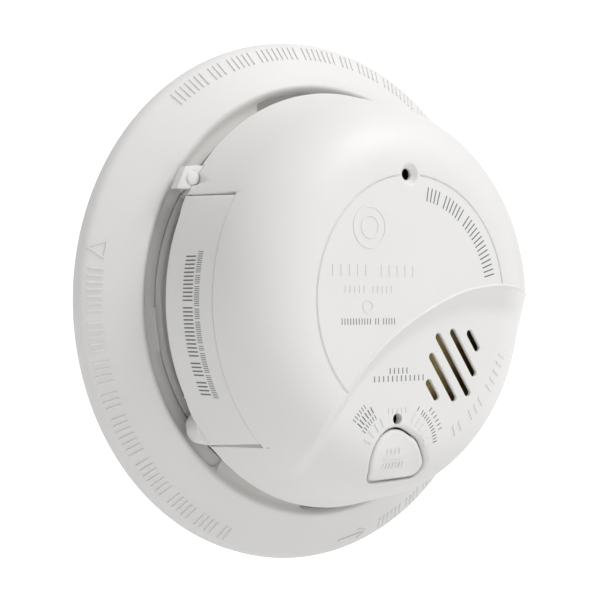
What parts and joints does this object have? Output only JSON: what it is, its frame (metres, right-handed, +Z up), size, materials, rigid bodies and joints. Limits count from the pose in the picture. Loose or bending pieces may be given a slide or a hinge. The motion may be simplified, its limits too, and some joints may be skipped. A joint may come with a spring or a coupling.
{
  "type": "smoke alarm",
  "caption": "Round wired smoke alarm on a twist-on wall bracket, with a swing-out battery drawer, test button and horn slots.",
  "frame": {"origin": "centre of the mounting bracket's back face, midway between the two box-screw slots", "axes": "+Y points into the wall or ceiling, the front of the alarm faces -Y, +Z is up and +X is to the right as seen from the front"},
  "size_m": [0.142, 0.0464, 0.142],
  "materials": {
    "bracket_plastic": "fine-grained moulded",
    "housing_plastic": "fine-grained moulded",
    "drawer_plastic": "fine-grained moulded",
    "button_plastic": "fine-grained moulded",
    "light_guide": "clear, polished",
    "dark_plastic": "moulded",
    "white_inner_plastic": "moulded",
    "board_laminate": "green solder mask",
    "film_yellow": "smooth box",
    "sleeve_blue": "shrink sleeve",
    "varistor_blue": "dipped coating",
    "resistor_beige": "lacquer",
    "led_green": "tinted lens",
    "led_red": "tinted lens",
    "plunger_red": "moulded",
    "label_film": "blank label",
    "steel": "plated",
    "brass": "rolled sheet",
    "cell_jacket": "coloured jacket",
    "seal_rubber": "soft",
    "print_ink": "pad-printed marks"
  },
  "bodies": {
    "bracket": {"mounting_bracket": "bracket_plastic", "spare_lock_pin": "bracket_plastic"},
    "alarm": {"rear_housing": "housing_plastic", "front_cover": "housing_plastic", "drawer_hinge_pin": "steel", "housing_screws": "steel", "rating_label": "label_film", "supply_contacts": "brass", "switch_body": "dark_plastic", "circuit_board": "board_laminate", "board_screws": "steel", "control_ic": "dark_plastic", "mains_capacitor": "film_yellow", "electrolytic_capacitors": "sleeve_blue", "varistor": "varistor_blue", "fuse_resistors": "resistor_beige", "rectifier_diodes": "dark_plastic", "mains_inlet": "white_inner_plastic", "inlet_pins": "brass", "chamber_base": "white_inner_plastic", "source_electrode": "steel", "collector_electrode": "steel", "chamber_can": "steel", "insect_screen": "steel", "horn_housing": "dark_plastic", "horn_disc": "brass", "horn_seal": "seal_rubber", "horn_contacts": "steel", "power_led": "led_green", "power_light_pipe": "light_guide", "alarm_led": "led_red", "alarm_light_pipe": "light_guide"},
    "drawer": {"battery_drawer": "drawer_plastic", "battery_cell": "cell_jacket", "battery_spring_contact": "steel", "battery_plate_contact": "steel"},
    "button": {"test_button": "button_plastic"},
    "plunger": {"switch_plunger": "plunger_red"},
    "lock_pin": {"lock_pin": "button_plastic"}
  },
  "joints": [
    {"name": "alarm_twist", "type": "hinge", "parent": "bracket", "child": "alarm", "pos_m": [0, 0, 0], "axis": [0, -1, 0], "range_deg": [0, 15]},
    {"name": "drawer_swing", "type": "hinge", "parent": "alarm", "child": "drawer", "pos_m": [-0.0414, -0.0144, -0.0318], "axis": [0, -1, 0], "range_deg": [0, 65]},
    {"name": "button_press", "type": "slide", "parent": "alarm", "child": "button", "axis": [0, 1, 0], "range_m": [0, 0.0012], "stiffness_N_per_m": 1200, "springref_m": -0.0005},
    {"name": "plunger_travel", "type": "slide", "parent": "alarm", "child": "plunger", "axis": [0, 1, 0], "range_m": [0, 0.0012]},
    {"name": "lock_pin_pull", "type": "slide", "parent": "alarm", "child": "lock_pin", "axis": [0, -1, 0], "range_m": [0, 0.009]}
  ],
  "couplings": [
    {"joint": "plunger_travel", "follows": "button_press", "ratio": 1}
  ]
}
